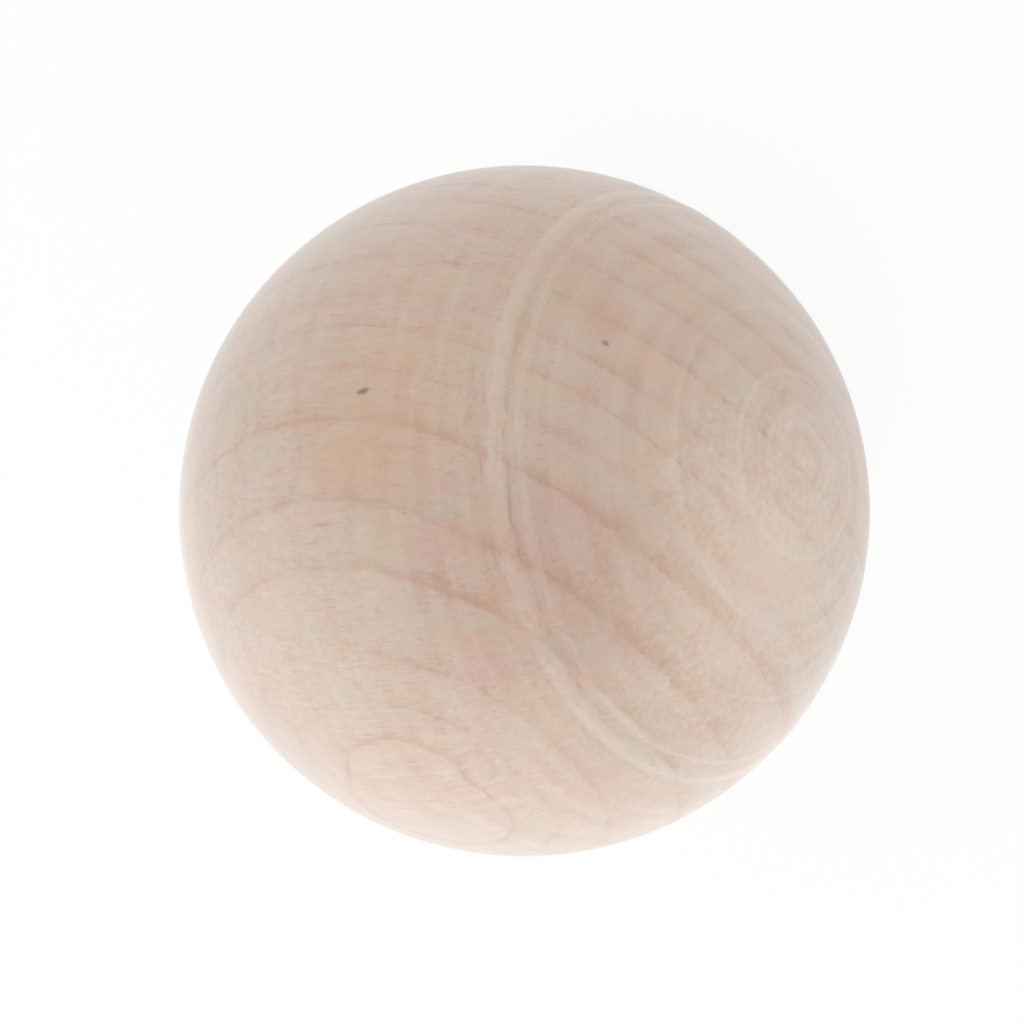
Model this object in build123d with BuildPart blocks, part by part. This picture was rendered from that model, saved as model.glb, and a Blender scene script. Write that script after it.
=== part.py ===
"""A solid wooden ball, turned between centres from one rod of pale, close-grained wood.

The ball is one piece. The lathe axis is X, which is also the way the grain runs, and the origin is
the ball's centre. The cutters left low raised rings on the turned half towards +X, the head: a broad
witness ridge where two cuts met, a thin ridge beside it, and finer tool rings nearer the pole.
"""

import os
from math import cos, degrees, radians, sin

from build123d import *

# Driving dimensions, in millimetres, and places round the meridian, in degrees from the head pole

ball_diameter = 40.0

witness_ridge_angle = 56.9
witness_ridge_width = 0.95
witness_ridge_height = 0.045

side_ridge_angle = 52.8
side_ridge_width = 0.5
side_ridge_height = 0.025

tool_ring_angles = (15.4, 27.5, 39.8)
tool_ring_width = 0.4
tool_ring_height = 0.015

# Worked-out values

ball_radius = ball_diameter / 2
half_turn = 180.0
centre = (0, 0)

raised_rings = [(angle, tool_ring_width, tool_ring_height) for angle in tool_ring_angles]
raised_rings.append((side_ridge_angle, side_ridge_width, side_ridge_height))
raised_rings.append((witness_ridge_angle, witness_ridge_width, witness_ridge_height))


def on_meridian(angle, rise=0):
    """The point at that angle from the head pole, standing rise above the ball's own round."""
    reach = ball_radius + rise
    return (reach * cos(radians(angle)), reach * sin(radians(angle)))


# The ball: one turned solid, its half section spun about the lathe axis

with BuildPart() as ball:
    with BuildSketch(Plane.XY) as half_section:
        with BuildLine() as meridian:
            reached = 0.0
            for ring_angle, ring_width, ring_height in sorted(raised_rings):
                half_span = degrees(ring_width / 2 / ball_radius)
                plain = CenterArc(centre, ball_radius, reached, ring_angle - half_span - reached)
                reached = ring_angle + half_span
                ThreePointArc(plain @ 1, on_meridian(ring_angle, ring_height), on_meridian(reached))
            CenterArc(centre, ball_radius, reached, half_turn - reached)
            Line(on_meridian(half_turn), on_meridian(0))
        make_face()
    revolve(axis=Axis.X)

ball.part.label = "ball"

os.makedirs("parts", exist_ok=True)
export_step(ball.part, "parts/ball.step")
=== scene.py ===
from math import asin, cos, degrees, pi, radians, sin, tan

import bmesh
import bpy
from mathutils import Matrix, Quaternion, Vector


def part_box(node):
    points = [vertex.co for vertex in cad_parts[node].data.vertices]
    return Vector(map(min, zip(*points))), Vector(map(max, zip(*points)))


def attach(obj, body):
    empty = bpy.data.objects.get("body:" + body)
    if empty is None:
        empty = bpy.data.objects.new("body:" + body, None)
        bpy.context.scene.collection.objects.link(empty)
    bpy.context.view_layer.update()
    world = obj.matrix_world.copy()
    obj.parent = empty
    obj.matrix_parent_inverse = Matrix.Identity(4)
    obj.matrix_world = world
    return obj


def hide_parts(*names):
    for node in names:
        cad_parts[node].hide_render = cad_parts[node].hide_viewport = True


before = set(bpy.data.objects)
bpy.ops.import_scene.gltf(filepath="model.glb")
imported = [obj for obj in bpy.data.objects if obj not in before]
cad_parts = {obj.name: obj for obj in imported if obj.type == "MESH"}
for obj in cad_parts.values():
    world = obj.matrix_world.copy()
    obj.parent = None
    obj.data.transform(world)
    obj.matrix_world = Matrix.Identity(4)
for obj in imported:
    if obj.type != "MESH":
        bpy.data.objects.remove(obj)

scene = bpy.context.scene
scene.view_settings.view_transform = "Standard"
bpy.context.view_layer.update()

# The turned ball
# One solid ball of pale birch, turned between centres from a rod and sanded, with no finish on it.
# The lathe axis is X, the head of the lathe was at +X, and the cutters left low rings about it.

mm = 0.001
ball_low, ball_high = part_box("ball")
ball_radius = (ball_high.x - ball_low.x) / 2
ball_radius_mm = ball_radius / mm
lathe_axis = Vector((1, 0, 0))
across_axis = Vector((0, 0, 1))
middle = (0, 0, 0)

# Raised rings: degrees from the head pole, width and height in millimetres, and how pale each is rubbed
witness_ridge = (56.9, 0.95, 0.045, 1.0)
side_ridge = (52.8, 0.50, 0.025, 0.5)
tool_rings = [(15.4, 0.40, 0.015, 0.7), (27.5, 0.40, 0.015, 0.5), (39.8, 0.40, 0.015, 0.25)]
raised_rings = [*tool_rings, side_ridge, witness_ridge]
# A ring is softened to a bell, whose foot is this many times as wide as the plain arc's
bell_foot_share = 1.41

# Chatter of the cutter: shallow waves that run from the witness ridge towards the middle, with their places
# in degrees from the head pole and their height in millimetres
wave_start, wave_end = 60.0, 84.0
wave_pitch = 4.1
wave_height = 0.006

# The mesh has fine steps from the head pole to past the chatter, and plain ones from there to the tail
fine_steps, plain_steps, round_steps = 250, 90, 256
fine_end, half_turn, full_turn = 85.0, 180.0, 360.0
weld_reach = 0.001 * mm


def turned_relief(angle):
    """How far the turned surface stands above the true round, in millimetres, at that angle."""
    rise = 0.0
    for place, width, height, rubbed in raised_rings:
        offset = ball_radius_mm * radians(abs(angle - place))
        foot = width * bell_foot_share / 2
        if offset < foot:
            rise += height * cos(pi / 2 * offset / foot) ** 2
    if wave_start < angle < wave_end:
        fade = (wave_end - angle) / (wave_end - wave_start)
        rise -= wave_height * fade * cos(2 * pi * (angle - wave_start) / wave_pitch)
    return rise


shape = bmesh.new()
pole = shape.verts.new(lathe_axis * ball_radius)
head_arc = bmesh.ops.spin(shape, geom=[pole], cent=middle, axis=across_axis,
                          angle=radians(fine_end), steps=fine_steps)
bmesh.ops.spin(shape, geom=head_arc["geom_last"], cent=middle, axis=across_axis,
               angle=radians(half_turn - fine_end), steps=plain_steps)
for vert in shape.verts:
    from_pole = degrees(lathe_axis.angle(vert.co))
    vert.co *= 1 + turned_relief(from_pole) / ball_radius_mm
bmesh.ops.spin(shape, geom=shape.verts[:] + shape.edges[:], cent=middle, axis=lathe_axis,
               angle=radians(full_turn), steps=round_steps, use_merge=True)
bmesh.ops.remove_doubles(shape, verts=shape.verts[:], dist=weld_reach)
bmesh.ops.recalc_face_normals(shape, faces=shape.faces[:])
for face in shape.faces:
    face.smooth = True

ball_mesh = bpy.data.meshes.new("turned_ball")
shape.to_mesh(ball_mesh)
shape.free()
ball = bpy.data.objects.new("turned_ball", ball_mesh)
scene.collection.objects.link(ball)


def to_linear(colour):
    """An sRGB hex colour as the linear red, green, blue and alpha that a shader takes."""
    shares = [int(colour[place:place + 2], 16) / 255 for place in (1, 3, 5)]
    return [((c + 0.055) / 1.055) ** 2.4 if c > 0.04045 else c / 12.92 for c in shares] + [1.0]


def add_node(tree, kind, inputs=None, **settings):
    """Adds a node of that kind with its settings, and puts a value or a link on each socket given."""
    node = tree.nodes.new("ShaderNode" + kind)
    for name, value in settings.items():
        setattr(node, name, value)
    for socket, value in (inputs or {}).items():
        if isinstance(value, bpy.types.NodeSocket):
            tree.links.new(value, node.inputs[socket])
        else:
            node.inputs[socket].default_value = value
    return node


def draw_curve(mapping, points):
    """Gives a curve those points, in order from left to right, joined by straight lines."""
    curve = mapping.curves[0]
    for number, point in enumerate(points):
        if number < 2:
            curve.points[number].location = point
        else:
            curve.points.new(*point)
    for point in curve.points:
        point.handle_type = "VECTOR"
    mapping.update()


# Bare birch, turned and sanded. The cut fibres are a soft fuzz, so it has no gloss to speak of and
# pales to white at a slant. Growth rings deepen slowly to a thin line and start again pale.
birch = bpy.data.materials.new("bare_birch_turned_and_sanded")
birch.use_nodes = True
wood = birch.node_tree
wood.nodes.clear()

where = add_node(wood, "TexCoord").outputs["Object"]
# Wood axes in millimetres: along the fibre, across it, and out towards the bark
grain_turn = (-34.1, 3.1, 4.2)
grain = add_node(wood, "Mapping", {
    "Vector": where,
    "Rotation": [radians(turn) for turn in grain_turn],
    "Scale": (1 / mm, 1 / mm, 1 / mm),
}).outputs["Vector"]

# Patterns of the wood: size along the fibre, across it and towards the bark in millimetres, then octaves.
# The finest are drawn several times as coarse as the cells are, so that they show
wood_patterns = {
    "waver": ((10.0, 4.0, 4.0), 1),
    "ragged": ((2.4, 0.9, 0.9), 1),
    "stretch": ((4.5, 3.0, 3.0), 2),
    "break": ((2.6, 0.7, 0.7), 1),
    "fibre": ((2.6, 0.36, 0.36), 3),
    "pore": ((1.0, 0.15, 0.15), 1),
    "mottle": ((0.5, 0.4, 0.4), 2),
    "speckle": ((0.17, 0.15, 0.15), 1),
    "warmth": ((4.4, 1.9, 1.9), 4),
    "pinkness": ((3.6, 1.5, 1.5), 2),
    "greyness": ((6.0, 2.6, 2.6), 2),
    "rub": ((1.6, 1.6, 1.6), 2),
    "fray": ((0.8, 0.3, 0.3), 1),
    "cloud": ((4.5, 2.0, 2.0), 2),
}
pattern_gap = 40.0
octave_strength = 0.6
# Noise lies about a half, so each shade has that taken off, to lie about zero
noise_middle = 0.5
shade_of = {}
for number, (name, (size, octaves)) in enumerate(wood_patterns.items()):
    place = add_node(wood, "Mapping", {
        "Vector": grain,
        "Location": (number * pattern_gap, 0, 0),
        "Scale": size,
    }, vector_type="TEXTURE").outputs[0]
    noise = add_node(wood, "TexNoise", {
        "Vector": place,
        "Scale": 1.0,
        "Detail": octaves,
        "Roughness": octave_strength,
    }).outputs[0]
    shade_of[name] = add_node(wood, "Math", {0: noise, 1: noise_middle}, operation="SUBTRACT").outputs[0]

# The lathe's own marks follow the angle from the head pole
outwards = add_node(wood, "VectorMath", {0: where}, operation="NORMALIZE").outputs[0]
along_axis = add_node(wood, "SeparateXYZ", {0: outwards}).outputs["X"]
pole_angle = add_node(wood, "Math", {0: along_axis}, operation="ARCCOSINE").outputs[0]
pole_degrees = add_node(wood, "Math", {0: pole_angle, 1: degrees(1)}, operation="MULTIPLY").outputs[0]

# Towards the head the cut runs across the fibre and is smoother: the degrees over which end grain turns to
# side grain, and the smooth cut to a rough one
end_to_side_grain = (35.0, 72.0)
smooth_to_rough = (28.0, 46.0)
side_grain, off_head = [
    add_node(wood, "MapRange", {"Value": pole_degrees, "From Min": start, "From Max": full},
             interpolation_type="SMOOTHSTEP").outputs[0]
    for start, full in (end_to_side_grain, smooth_to_rough)
]
# Round the witness ridge the wood is rubbed pale: the middle of that zone, and how far from it that is full
# and ends, in degrees
rubbed_middle, rubbed_full, rubbed_end = 56.0, 1.5, 6.0
past_ridge = add_node(wood, "Math", {0: pole_degrees, 1: rubbed_middle}, operation="SUBTRACT").outputs[0]
from_ridge = add_node(wood, "Math", {0: past_ridge}, operation="ABSOLUTE").outputs[0]
rubbed_zone = add_node(wood, "MapRange", {
    "Value": from_ridge,
    "From Min": rubbed_full,
    "From Max": rubbed_end,
    "To Min": 1.0,
    "To Max": 0.0,
}, interpolation_type="SMOOTHSTEP").outputs[0]

# Chatter bars, fine scratches and torn ticks lie along the cut and differ from place to place round the
# ball: degrees from one to the next, and length in millimetres
lathe_marks = {"bars": (3.0, 6.0), "scratches": (0.9, 4.0), "ticks": (0.7, 1.1)}
pole_place = add_node(wood, "CombineXYZ", {0: pole_degrees}).outputs[0]
for name, (pitch, length) in lathe_marks.items():
    spread = add_node(wood, "Mapping", {"Vector": where, "Scale": (0, 1 / mm / length, 1 / mm / length)})
    place = add_node(wood, "VectorMath", {0: pole_place, 1: (1 / pitch, 0, 0), 2: spread.outputs[0]},
                     operation="MULTIPLY_ADD").outputs[0]
    noise = add_node(wood, "TexNoise", {"Vector": place, "Scale": 1.0, "Detail": 0.0}).outputs[0]
    shade_of[name] = add_node(wood, "Math", {0: noise, 1: noise_middle}, operation="SUBTRACT").outputs[0]

# Some patterns weaken and strengthen a mark from place to place: how far the pattern swings each side of
# zero, and the least and most that it makes of the mark
pattern_strengths = {
    "break": (0.15, 0.0, 1.6),
    "stretch": (0.2, 0.4, 1.6),
    "rub": (0.2, 0.65, 1.35),
    "ticks": (0.15, 0.1, 1.7),
}
strength_of = {}
for name, (swing, least, most) in pattern_strengths.items():
    strength_of[name] = add_node(wood, "MapRange", {
        "Value": shade_of[name],
        "From Min": -swing,
        "From Max": swing,
        "To Min": least,
        "To Max": most,
    }).outputs[0]

# Cut vessels are short dark dashes along the fibre, short pale dashes are painted highlights on lifted
# fibres, and the cutter tore short dark ticks along the ridge: the pattern, and where in it a dash begins
# and is full
dashes = {"pores": ("pore", 0.08, 0.24), "fibre_glints": ("pore", -0.1, -0.24), "torn": ("ticks", 0.06, 0.2)}
for name, (pattern, begun, full) in dashes.items():
    shade_of[name] = add_node(wood, "MapRange", {
        "Value": shade_of[pattern],
        "From Min": begun,
        "From Max": full,
    }).outputs[0]

# The pith lay 53 mm from the middle of the ball, so the rings are cylinders about a line out there
pith_distance = 53.4
across_fibre = (0, 1, 1)
from_pith = add_node(wood, "VectorMath", {0: grain, 1: across_fibre, 2: (0, 0, pith_distance)},
                     operation="MULTIPLY_ADD").outputs[0]
tree_radius = add_node(wood, "VectorMath", {0: from_pith}, operation="LENGTH").outputs["Value"]
# They waver along the stem, and their edges are ragged and frayed: how far in millimetres on the head, and
# past it
ring_edges = {"waver": (0.5, 0.5), "ragged": (0.3, 0.09), "fray": (0.45, 0.1)}
ring_radius = tree_radius
for name, (on_head, past_head) in ring_edges.items():
    reach = add_node(wood, "MapRange", {
        "Value": off_head,
        "To Min": on_head,
        "To Max": past_head,
    }).outputs[0]
    ring_radius = add_node(wood, "Math", {0: shade_of[name], 1: reach, 2: ring_radius},
                           operation="MULTIPLY_ADD").outputs[0]

# Where each year ended, in millimetres from the pith, and how dark its last wood is on the head and on the
# side. The first of them began at first_start
first_start = 32.5
years_grown = [
    (35.0, 0.35, 0.35), (37.6, 0.4, 0.4), (40.2, 0.4, 0.4), (42.7, 0.35, 0.35), (45.2, 0.36, 0.45),
    (47.4, 0.36, 0.45), (50.1, 0.3, 0.3), (53.15, 0.28, 0.4), (55.95, 0.26, 0.33), (58.0, 0.32, 0.47),
    (60.4, 0.24, 0.4), (62.9, 1.0, 0.8), (66.4, 0.75, 0.48), (68.6, 1.0, 0.68), (71.05, 0.35, 0.28),
    (72.2, 0.3, 0.3), (72.9, 0.82, 0.82), (73.6, 0.1, 0.1), (76.0, 0.4, 0.4),
]
last_end = years_grown[-1][0]
year_count = len(years_grown)
growth = add_node(wood, "MapRange", {
    "Value": ring_radius,
    "From Min": first_start,
    "From Max": last_end,
}).outputs[0]
year_curve = add_node(wood, "FloatCurve", {"Value": growth})
year_ends = [(0.0, 0.0)]
for number, (end, on_head, on_side) in enumerate(years_grown, 1):
    year_ends.append(((end - first_start) / (last_end - first_start), number / year_count))
draw_curve(year_curve.mapping, year_ends)
year = add_node(wood, "Math", {0: year_curve.outputs[0], 1: year_count}, operation="MULTIPLY").outputs[0]
season = add_node(wood, "Math", {0: year}, operation="FRACT").outputs[0]
year_begun = add_node(wood, "Math", {0: year}, operation="FLOOR").outputs[0]
year_share = add_node(wood, "Math", {0: year_begun, 1: year_count}, operation="DIVIDE").outputs[0]
year_darks = []
for column in (1, 2):
    curve = add_node(wood, "FloatCurve", {"Value": year_share})
    draw_curve(curve.mapping, [(number / year_count, grown[column])
                               for number, grown in enumerate(years_grown + years_grown[-1:])])
    year_darks.append(curve.outputs[0])
year_dark = add_node(wood, "MapRange", {
    "Value": side_grain,
    "To Min": year_darks[0],
    "To Max": year_darks[1],
}).outputs[0]

# Through a year the wood deepens slowly, ends in a soft dark line with a thin broken one in it, and starts
# again pale. End grain on the head shows the slow band most, and side grain the lines: how dark each is
# through the year, then its weight in end grain and in side grain
season_shapes = [
    ([(0.0, 0.4), (0.06, 0.15), (0.15, 0.0), (0.33, 0.0), (0.5, 0.25), (0.82, 0.65), (0.92, 1.0),
      (0.96, 0.9), (1.0, 0.4)], 0.55, 0.25),
    ([(0.0, 0.3), (0.04, 0.0), (0.66, 0.0), (0.79, 0.55), (0.87, 1.0), (0.95, 1.0), (1.0, 0.3)], 0.5, 0.45),
    ([(0.0, 0.0), (0.88, 0.0), (0.93, 1.0), (0.98, 0.0), (1.0, 0.0)], 0.5, 0.7),
]
season_parts = []
for points, on_head, on_side in season_shapes:
    curve = add_node(wood, "FloatCurve", {"Value": season})
    draw_curve(curve.mapping, points)
    weight = add_node(wood, "MapRange", {
        "Value": side_grain,
        "To Min": on_head,
        "To Max": on_side,
    }).outputs[0]
    season_parts.append(add_node(wood, "Math", {0: curve.outputs[0], 1: weight},
                                 operation="MULTIPLY").outputs[0])
band, soft_line, thin_line = season_parts
band_and_line = add_node(wood, "Math", {0: band, 1: soft_line}, operation="ADD").outputs[0]
ring_depth = add_node(wood, "Math", {0: thin_line, 1: strength_of["break"], 2: band_and_line},
                      operation="MULTIPLY_ADD").outputs[0]
# A ring shows strongly in some stretches and fades in others, by the ridge and past the middle most of all:
# degrees from the head pole, and how much of it shows there
ring_shows = [(0, 1.0), (48, 1.0), (54, 0.55), (60, 0.55), (65, 1.0), (84, 0.95), (94, 0.65), (125, 0.6),
              (160, 1.0), (180, 1.0)]
pole_share = add_node(wood, "Math", {0: pole_degrees, 1: half_turn}, operation="DIVIDE").outputs[0]
place_strength = add_node(wood, "FloatCurve", {"Value": pole_share})
draw_curve(place_strength.mapping, [(angle / half_turn, share) for angle, share in ring_shows])
for strength in (year_dark, strength_of["stretch"], place_strength.outputs[0]):
    ring_depth = add_node(wood, "Math", {0: ring_depth, 1: strength}, operation="MULTIPLY").outputs[0]

# Raised rings are rubbed pale on top, with a thin dark line of painted shade at each foot: places across a
# ring in shares of its half foot, and how pale it is there, or how dark. A pale pip is left at the pole,
# partly rubbed pale and partly a painted highlight of its relief
ring_tints = [(-1.35, 0), (-1.1, -1), (-0.85, 0), (-0.4, 1), (0.4, 1), (0.9, 0), (1.1, -0.6), (1.3, 0)]
pip_reach, pip_tint = 1.6, 0.9
head_end, flank_end = 45.0, 90.0
turned_tints = [(0.0, pip_tint), (pip_reach, 0.0), (head_end, 0.0)]
for place, width, height, rubbed in raised_rings:
    half_foot = degrees(width * bell_foot_share / 2 / ball_radius_mm)
    for offset_share, tint in ring_tints:
        turned_tints.append((place + offset_share * half_foot, rubbed * tint))
# Finishing cuts left lines with no height, partly burnished and partly painted light and shade of their fine
# relief: degrees from the head pole, and how pale or dark
burnished_and_shaded_lines = [
    (3.2, -0.5), (6.6, 0.4), (8.9, 0.5), (12.0, -0.8), (23.0, -0.4), (30.6, -0.4), (33.0, 0.3),
    (48.0, 0.3), (62.0, 0.35), (63.6, -0.4), (66.5, 0.35), (68.4, -0.4), (70.4, 0.3), (74.0, 0.3),
]
turned_line_reach = 0.9
for place, tint in burnished_and_shaded_lines:
    turned_tints += [(place - turned_line_reach, 0.0), (place, tint), (place + turned_line_reach, 0.0)]
# Their edges are frayed, by this many degrees
turned_frays = {"fray": 0.6, "rub": 0.5}
turned_degrees = pole_degrees
for name, reach in turned_frays.items():
    turned_degrees = add_node(wood, "Math", {0: shade_of[name], 1: reach, 2: turned_degrees},
                              operation="MULTIPLY_ADD").outputs[0]
# A curve holds few steps, so the head and the flank have one each, and plain wood lies half way up it
plain = 0.5
turned_parts = []
for start, end in ((0.0, head_end), (head_end, flank_end)):
    along = add_node(wood, "MapRange", {
        "Value": turned_degrees,
        "From Min": start,
        "From Max": end,
    }).outputs[0]
    curve = add_node(wood, "FloatCurve", {"Value": along})
    points = [((angle - start) / (end - start), plain + tint / 2)
              for angle, tint in sorted(turned_tints) if start <= angle < end]
    draw_curve(curve.mapping, points + [(1.0, plain)])
    turned_parts.append(add_node(wood, "Math", {0: curve.outputs[0], 1: plain},
                                 operation="SUBTRACT").outputs[0])
turned_tint = add_node(wood, "Math", {0: turned_parts[0], 1: turned_parts[1]}, operation="ADD").outputs[0]
turned_mark = add_node(wood, "Math", {0: turned_tint, 1: strength_of["rub"]},
                       operation="MULTIPLY").outputs[0]

# All of these deepen or pale the same tone of wood, about its own depth: where the weight changes, the
# weight before that change, and the weight after it
wood_depth = 0.3
depth = add_node(wood, "Math", {0: ring_depth, 1: wood_depth}, operation="ADD").outputs[0]
depth_weights = [
    (shade_of["fibre"], side_grain, 0.12, 1.0),
    (shade_of["mottle"], off_head, 0.18, 0.65),
    (shade_of["speckle"], off_head, 0.05, 0.25),
    (shade_of["cloud"], side_grain, 0.65, 0.45),
    (shade_of["bars"], side_grain, 0.9, 0.7),
    (shade_of["scratches"], side_grain, 0.1, 0.18),
    (shade_of["pores"], off_head, 0.0, 0.5),
    # Painted highlights of lifted fibres pale the wood in short dashes
    (shade_of["fibre_glints"], off_head, 0.0, -0.35),
    (shade_of["torn"], rubbed_zone, 0.0, 0.45),
    # Turned marks pale the rubbed crests, and carry painted shade at the ring feet and painted light and
    # shade on the fine turned lines
    (turned_mark, side_grain, -0.5, -0.5),
]
for shade, change, before, after in depth_weights:
    weight = add_node(wood, "MapRange", {"Value": change, "To Min": before, "To Max": after}).outputs[0]
    depth = add_node(wood, "Math", {0: shade, 1: weight, 2: depth}, operation="MULTIPLY_ADD").outputs[0]

birch_tones = [(0.0, "#C7B4A5"), (0.5, "#C1A998"), (1.0, "#B99985")]
tones = add_node(wood, "ValToRGB", {"Fac": depth})
tones.color_ramp.elements.new(birch_tones[1][0])
for stop, (position, colour) in zip(tones.color_ramp.elements, birch_tones):
    stop.position = position
    stop.color = to_linear(colour)
coloured = tones.outputs["Color"]

# Sapwood varies in hue as well: warm orange, pink and greenish grey streaks, and pale rubbed crests and
# turned lines, whose pale is partly painted light. Each has the shade at which it is full, how much it then
# covers, and its colour
streak_full = 0.26
hue_streaks = [
    (shade_of["warmth"], streak_full, 0.58, "#CCA985"),
    (shade_of["pinkness"], streak_full, 0.58, "#C69E96"),
    (shade_of["greyness"], streak_full, 0.66, "#BCB19E"),
    (rubbed_zone, 1.0, 0.08, "#C9BFB1"),
    (turned_mark, 1.0, 0.38, "#D6C9B8"),
]
# Numbers of the sockets on a node that mixes two colours
mix_share, mix_under, mix_over, mix_result = 0, 6, 7, 2
for shade, full, most, colour in hue_streaks:
    share = add_node(wood, "MapRange", {"Value": shade, "From Max": full, "To Max": most}).outputs[0]
    coloured = add_node(wood, "Mix", {
        mix_share: share,
        mix_under: coloured,
        mix_over: to_linear(colour),
    }, data_type="RGBA").outputs[mix_result]

# Marks of this ball: middle and half sizes in wood axes in millimetres, tilt in degrees about the line
# across the fibre, how much of the half size is a soft edge, how it lies on the wood, how strong, and the
# colour
marks = {
    # Painted light: the head is painted paler, as more light from that side would make it
    "painted light over the head": ((19.1, 0.7, 5.8), (13.0, 13.0, 13.0), 0, 1.0, "SCREEN", 0.42, "#D2BAA4"),
    # Painted light: this side is painted paler and its rings fainter, as a broad light would make them
    "painted light on the side": ((-3.1, 14.1, 13.8), (11.0, 11.0, 11.0), 0, 1.0, "SCREEN", 0.17, "#C3BCB4"),
    # Painted shade: this part of the ball is painted darker and warmer, where less light falls
    "painted shade over the head": ((11.0, 15.8, -5.2), (11.0, 11.0, 11.0), 0, 1.0, "MULTIPLY", 1.0, "#FCF6F0"),
    "pink middle": ((11.7, 10.2, 11.9), (11.0, 10.5, 9.0), 0, 1.0, "MULTIPLY", 0.9, "#F7EAE9"),
    "peach side": ((3.2, 18.6, 5.6), (9.0, 9.0, 9.0), 0, 1.0, "MIX", 0.36, "#CBA280"),
    "warm streak under the speck": ((2.6, 17.7, 8.7), (6.0, 5.0, 2.4), 0, 1.0, "MIX", 0.3, "#C69A78"),
    "warm streak on the head": ((13.4, 14.4, -2.6), (4.0, 2.4, 2.0), 0, 1.0, "MIX", 0.45, "#C4977C"),
    "pale patch": ((18.2, -1.5, 7.9), (2.6, 2.6, 1.6), 0, 1.0, "MIX", 0.5, "#D2C4BC"),
    "short dash": ((0.3, 16.3, 11.7), (1.0, 0.5, 0.14), 0, 0.9, "MIX", 0.5, "#A0806F"),
    "speck by the ridge": ((2.64, 19.21, 4.90), (0.62, 0.6, 0.26), 13, 0.8, "MIX", 1.0, "#8C7264"),
    "speck on the head": ((14.06, 14.19, -0.92), (0.25, 0.38, 0.23), 0, 0.8, "MIX", 0.9, "#8C7262"),
}
for place, size, tilt, softness, lay, strength, colour in marks.values():
    at_mark = add_node(wood, "Mapping", {
        "Vector": grain,
        "Location": place,
        "Rotation": (0, radians(tilt), 0),
        "Scale": size,
    }, vector_type="TEXTURE").outputs[0]
    reach = add_node(wood, "VectorMath", {0: at_mark}, operation="LENGTH").outputs["Value"]
    ragged_edge = add_node(wood, "Math", {0: shade_of["mottle"], 1: softness, 2: reach},
                           operation="MULTIPLY_ADD").outputs[0]
    share = add_node(wood, "MapRange", {
        "Value": ragged_edge,
        "From Min": 1 - softness,
        "From Max": 1.0,
        "To Min": strength,
        "To Max": 0.0,
    }, interpolation_type="SMOOTHSTEP").outputs[0]
    coloured = add_node(wood, "Mix", {
        mix_share: share,
        mix_under: coloured,
        mix_over: to_linear(colour),
    }, data_type="RGBA", blend_type=lay).outputs[mix_result]

# A scored line, broken here and there, runs along the foot of the witness ridge: its place and half width in
# degrees, and its middle and how far it reaches from there in millimetres
score_angle, score_half_width = 55.3, 0.5
score_middle, score_reach = (10.9, 14.1, 9.0), 4.5
score_most, score_colour = 0.28, "#977C6B"
past_score = add_node(wood, "Math", {0: turned_degrees, 1: score_angle}, operation="SUBTRACT").outputs[0]
from_score = add_node(wood, "Math", {0: past_score}, operation="ABSOLUTE").outputs[0]
score = add_node(wood, "MapRange", {
    "Value": from_score,
    "From Max": score_half_width,
    "To Min": 1.0,
    "To Max": 0.0,
}).outputs[0]
along_score = add_node(wood, "VectorMath", {0: grain, 1: score_middle},
                       operation="DISTANCE").outputs["Value"]
score_strength = add_node(wood, "MapRange", {
    "Value": along_score,
    "From Min": score_reach / 2,
    "From Max": score_reach,
    "To Min": score_most,
    "To Max": 0.0,
}).outputs[0]
for strength in (score_strength, strength_of["ticks"]):
    score = add_node(wood, "Math", {0: score, 1: strength}, operation="MULTIPLY").outputs[0]
coloured = add_node(wood, "Mix", {
    mix_share: score,
    mix_under: coloured,
    mix_over: to_linear(score_colour),
}, data_type="RGBA").outputs[mix_result]

# The sanded fibres stand about two hundredths of a millimetre high, less on the head, where they were cut
# across, and some streaks are sanded smoother than others
fuzz_height, fuzz_strength = 0.02 * mm, 0.6
head_fuzz_share, side_fuzz_share = 0.4, 1.0
fibre_swing = 0.25
smoothest, roughest = 0.57, 0.73
fuzz_share = add_node(wood, "MapRange", {
    "Value": off_head,
    "To Min": head_fuzz_share,
    "To Max": side_fuzz_share,
}).outputs[0]
standing = add_node(wood, "Math", {0: shade_of["fibre"], 1: shade_of["speckle"]}, operation="ADD").outputs[0]
fuzz_relief = add_node(wood, "Math", {0: standing, 1: fuzz_share}, operation="MULTIPLY").outputs[0]
fuzz = add_node(wood, "Bump", {
    "Strength": fuzz_strength,
    "Distance": fuzz_height,
    "Height": fuzz_relief,
}).outputs["Normal"]
sanded = add_node(wood, "MapRange", {
    "Value": shade_of["fibre"],
    "From Min": -fibre_swing,
    "From Max": fibre_swing,
    "To Min": smoothest,
    "To Max": roughest,
}).outputs[0]
surface = add_node(wood, "BsdfPrincipled", {
    "Base Color": coloured,
    "Roughness": sanded,
    "IOR": 1.5,
    "Sheen Weight": 0.8,
    "Sheen Roughness": 0.5,
    "Sheen Tint": (1, 1, 1, 1),
    "Normal": fuzz,
})
add_node(wood, "OutputMaterial", {"Surface": surface.outputs["BSDF"]})
ball_mesh.materials.append(birch)

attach(ball, "root")
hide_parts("ball")

# The floor
# A plain sheet of white paper under the ball. It shows white, and darkens a little where the ball shades it.
floor_radius = 60 * ball_radius
floor_sides = 96
floor_colour = "#ECECEC"
floor_shade_share = 0.08

sheet = bmesh.new()
bmesh.ops.create_circle(sheet, cap_ends=True, radius=floor_radius, segments=floor_sides,
                        matrix=Matrix.Translation((0, 0, ball_low.z)))
floor_mesh = bpy.data.meshes.new("floor")
sheet.to_mesh(floor_mesh)
sheet.free()
floor = bpy.data.objects.new("floor", floor_mesh)
scene.collection.objects.link(floor)

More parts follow.
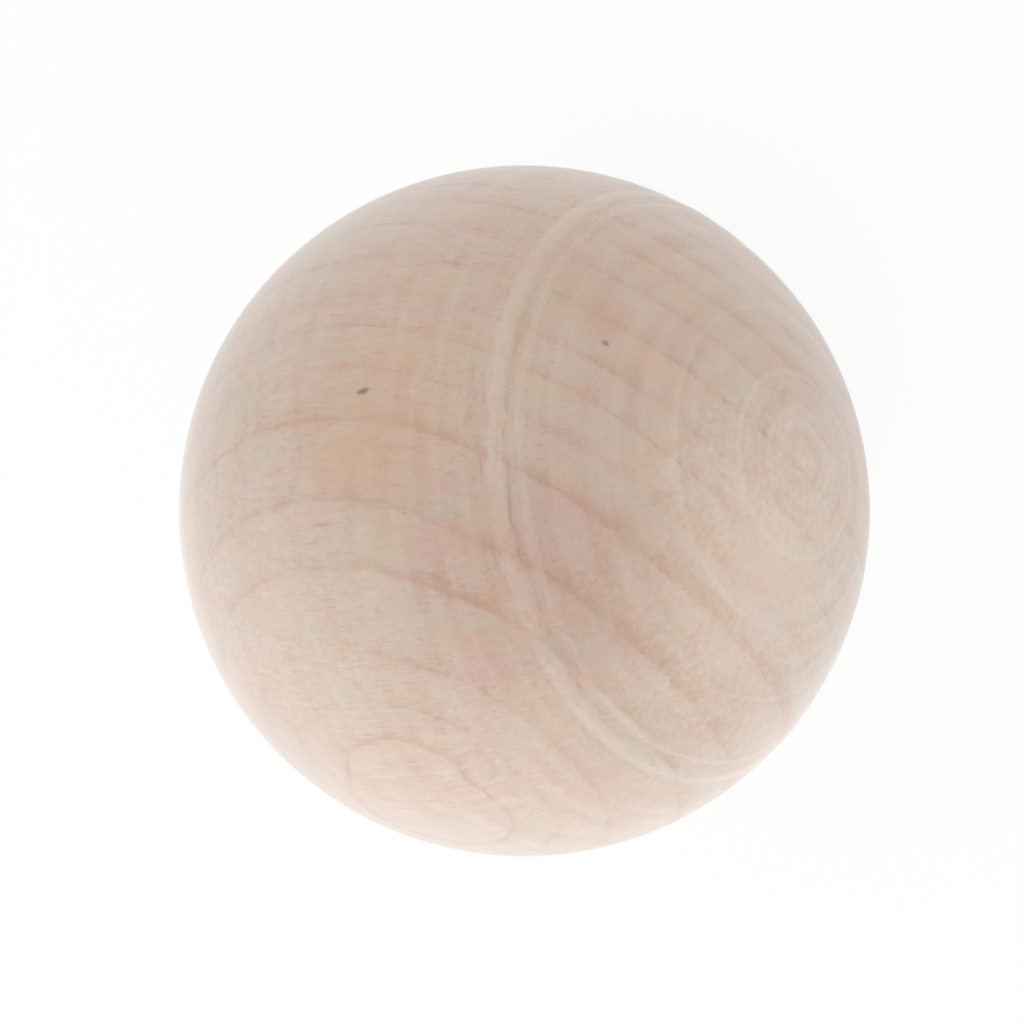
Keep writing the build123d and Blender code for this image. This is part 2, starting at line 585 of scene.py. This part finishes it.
paper = bpy.data.materials.new("white_paper")
paper.use_nodes = True
paper_tree = paper.node_tree
paper_tree.nodes.clear()
path = add_node(paper_tree, "LightPath").outputs
mirrored = add_node(paper_tree, "Math", {0: path["Is Glossy Ray"], 1: path["Is Transmission Ray"]},
                    operation="MAXIMUM").outputs[0]
seen = add_node(paper_tree, "Math", {0: path["Is Camera Ray"], 1: mirrored}, operation="MAXIMUM").outputs[0]
shown = add_node(paper_tree, "Math", {0: seen, 1: 1 - floor_shade_share}, operation="MULTIPLY").outputs[0]
matt = add_node(paper_tree, "BsdfDiffuse", {"Color": to_linear(floor_colour)}).outputs[0]
white = add_node(paper_tree, "Emission", {"Strength": 1.0}).outputs[0]
mixed = add_node(paper_tree, "MixShader", {0: shown, 1: matt, 2: white}).outputs[0]
add_node(paper_tree, "OutputMaterial", {"Surface": mixed})
floor_mesh.materials.append(paper)

# The light
# A soft white dome all round, which is the background too, and one broad soft lamp low on the side that the
# photograph's lower left faces.
dome = bpy.data.worlds.new("white_dome")
dome.use_nodes = True
sky = dome.node_tree
sky.nodes.clear()
background = add_node(sky, "Background", {"Color": (1, 1, 1, 1), "Strength": 1.0}).outputs[0]
add_node(sky, "OutputWorld", {"Surface": background})
scene.world = dome

lamp_azimuth, lamp_elevation = -28.0, 25.0
lamp_distance = 14 * ball_radius
lamp_width = 11 * ball_radius
lamp_share = 0.40


def direction(azimuth, elevation):
    """The way towards a place at that azimuth and elevation, where azimuth 0 stands at -Y."""
    turn, rise = radians(azimuth), radians(elevation)
    return Vector((sin(turn) * cos(rise), -cos(turn) * cos(rise), sin(rise)))


lamp_data = bpy.data.lights.new("soft_lamp", "AREA")
lamp_data.shape = "DISK"
lamp_data.size = lamp_width
# Watts that light a white sheet which faces the lamp to about that share of full white
lamp_data.energy = lamp_share * pi * pi * lamp_distance ** 2
lamp = bpy.data.objects.new("soft_lamp", lamp_data)
shine_from = direction(lamp_azimuth, lamp_elevation)
lamp.location = shine_from * lamp_distance
lamp.rotation_mode = "QUATERNION"
lamp.rotation_quaternion = shine_from.to_track_quat("Z", "Y")
lamp.visible_camera = False
scene.collection.objects.link(lamp)

# The camera
# A long lens that looks down on the ball, rolled until the lathe axis lies as the photograph shows it.
image_side = 1024
ball_centre_pixel = (524.4, 510.8)
ball_radius_pixels = 345.4
camera_azimuth, camera_elevation = 110.8, 50.0
camera_roll = -126.05
camera_distance = 20 * ball_radius
sensor_width = 36.0

camera_data = bpy.data.cameras.new("camera")
camera_data.sensor_width = sensor_width
outline_slope = tan(asin(ball_radius / camera_distance))
camera_data.lens = sensor_width * ball_radius_pixels / image_side / outline_slope
camera_data.shift_x = (image_side / 2 - ball_centre_pixel[0]) / image_side
camera_data.shift_y = (ball_centre_pixel[1] - image_side / 2) / image_side
camera = bpy.data.objects.new("camera", camera_data)
look_from = direction(camera_azimuth, camera_elevation)
camera.location = look_from * camera_distance
camera.rotation_mode = "QUATERNION"
camera_turn = Quaternion((0, 0, 1), radians(camera_roll))
camera.rotation_quaternion = look_from.to_track_quat("Z", "Y") @ camera_turn
scene.collection.objects.link(camera)
scene.camera = camera
